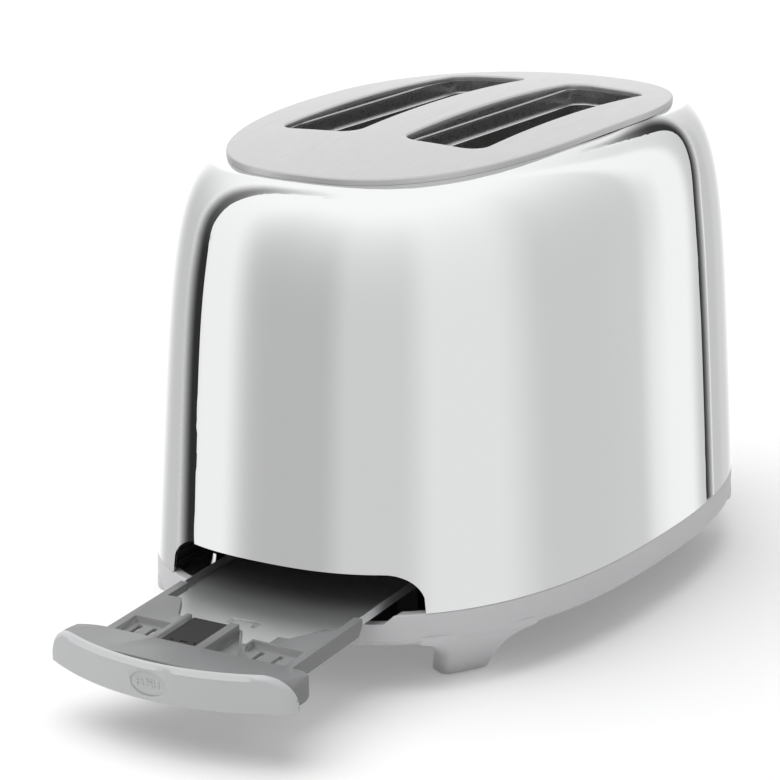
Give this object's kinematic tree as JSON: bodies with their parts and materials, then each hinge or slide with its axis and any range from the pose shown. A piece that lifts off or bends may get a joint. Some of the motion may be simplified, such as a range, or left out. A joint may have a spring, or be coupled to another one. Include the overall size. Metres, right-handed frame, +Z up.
{
  "type": "two-slice toaster",
  "caption": "Long-sided toaster with a mirror-bright rolled shell, domed slotted top plate, base ring on feet and a crumb tray drawn out at one end.",
  "frame": {"origin": "middle of the whole footprint with the crumb tray drawn out, on the table", "axes": "+Z up; the crumb tray leaves towards -X and the lever, dial and buttons are at the +X end; -Y is the front long side"},
  "size_m": [0.4046, 0.1912, 0.198],
  "materials": {
    "polished_shell": "polished",
    "satin_plate": "brushed",
    "bright_steel": "satin",
    "zinc_sheet": "satin",
    "silver_ring": "satin",
    "light_grey": "satin",
    "mid_grey": "satin",
    "black_plastic": "matte",
    "gloss_black": "glossy",
    "dark_sheet": "matte",
    "mica": "matte",
    "heater_alloy": "satin",
    "rubber": "matte",
    "circuit_board": "satin",
    "copper_coil": "satin",
    "zinc_screw": "satin"
  },
  "bodies": {
    "housing": {"outer_shell": "polished_shell", "top_plate": "satin_plate", "slot_liner_front": "bright_steel", "slot_liner_rear": "bright_steel", "base_ring": "silver_ring", "foot_pads": "rubber", "base_cover": "dark_sheet", "base_screws": "zinc_screw", "cord_gland": "rubber", "tray_mouth": "black_plastic", "tray_guide_front": "black_plastic", "tray_guide_rear": "black_plastic", "tray_catch": "black_plastic", "chamber_end_near": "zinc_sheet", "chamber_end_far": "zinc_sheet", "heat_shield_front": "zinc_sheet", "heat_shield_rear": "zinc_sheet", "heater_board_front": "mica", "heater_board_middle": "mica", "heater_board_rear": "mica", "heater_ribbon_front": "heater_alloy", "heater_ribbon_middle": "heater_alloy", "heater_ribbon_rear": "heater_alloy", "lever_trim": "black_plastic", "guide_rods": "bright_steel", "rod_bracket": "zinc_sheet", "holding_magnet": "copper_coil", "control_board": "circuit_board", "dial_potentiometer": "black_plastic", "button_switches": "black_plastic"},
    "tray": {"tray_front": "light_grey", "tray_frame": "mid_grey", "tray_sheet": "zinc_sheet", "tray_latch": "black_plastic"},
    "lift": {"carriage": "bright_steel", "bread_rack_front": "bright_steel", "bread_rack_rear": "bright_steel", "lever_stem": "bright_steel", "lever_knob": "gloss_black"},
    "dial": {"browning_dial": "gloss_black", "dial_shaft": "light_grey"},
    "guard_front_outer": {"bread_guard_front_outer": "bright_steel"},
    "guard_front_inner": {"bread_guard_front_inner": "bright_steel"},
    "guard_rear_outer": {"bread_guard_rear_outer": "bright_steel"},
    "guard_rear_inner": {"bread_guard_rear_inner": "bright_steel"},
    "bagel_key": {"button_bagel": "gloss_black"},
    "defrost_key": {"button_defrost": "gloss_black"},
    "reheat_key": {"button_reheat": "gloss_black"},
    "cancel_key": {"button_cancel": "gloss_black"}
  },
  "joints": [
    {"name": "tray_slide", "type": "slide", "parent": "housing", "child": "tray", "axis": [0.9929, 0, 0.1191], "range_m": [0, 0.08609]},
    {"name": "carriage_lift", "type": "slide", "parent": "housing", "child": "lift", "axis": [0, 0, 1], "range_m": [-0.052, 0], "stiffness_N_per_m": 60, "springref_m": 0.06},
    {"name": "dial_turn", "type": "hinge", "parent": "housing", "child": "dial", "pos_m": [0.18125, 0, 0.066], "axis": [1, 0, 0], "range_deg": [-135, 135]},
    {"name": "guard_front_outer_close", "type": "slide", "parent": "housing", "child": "guard_front_outer", "axis": [0, 1, 0], "range_m": [0, 0.006]},
    {"name": "guard_front_inner_close", "type": "slide", "parent": "housing", "child": "guard_front_inner", "axis": [0, -1, 0], "range_m": [0, 0.006]},
    {"name": "guard_rear_outer_close", "type": "slide", "parent": "housing", "child": "guard_rear_outer", "axis": [0, -1, 0], "range_m": [0, 0.006]},
    {"name": "guard_rear_inner_close", "type": "slide", "parent": "housing", "child": "guard_rear_inner", "axis": [0, 1, 0], "range_m": [0, 0.006]},
    {"name": "bagel_press", "type": "slide", "parent": "housing", "child": "bagel_key", "axis": [-1, 0, 0], "range_m": [0, 0.0015], "stiffness_N_per_m": 400, "springref_m": -0.002},
    {"name": "defrost_press", "type": "slide", "parent": "housing", "child": "defrost_key", "axis": [-1, 0, 0], "range_m": [0, 0.0015], "stiffness_N_per_m": 400, "springref_m": -0.002},
    {"name": "reheat_press", "type": "slide", "parent": "housing", "child": "reheat_key", "axis": [-1, 0, 0], "range_m": [0, 0.0015], "stiffness_N_per_m": 400, "springref_m": -0.002},
    {"name": "cancel_press", "type": "slide", "parent": "housing", "child": "cancel_key", "axis": [-1, 0, 0], "range_m": [0, 0.0015], "stiffness_N_per_m": 400, "springref_m": -0.002}
  ],
  "couplings": [
    {"joint": "guard_front_outer_close", "follows": "carriage_lift", "ratio": -0.1153},
    {"joint": "guard_front_inner_close", "follows": "carriage_lift", "ratio": -0.1153},
    {"joint": "guard_rear_outer_close", "follows": "carriage_lift", "ratio": -0.1153},
    {"joint": "guard_rear_inner_close", "follows": "carriage_lift", "ratio": -0.1153}
  ]
}
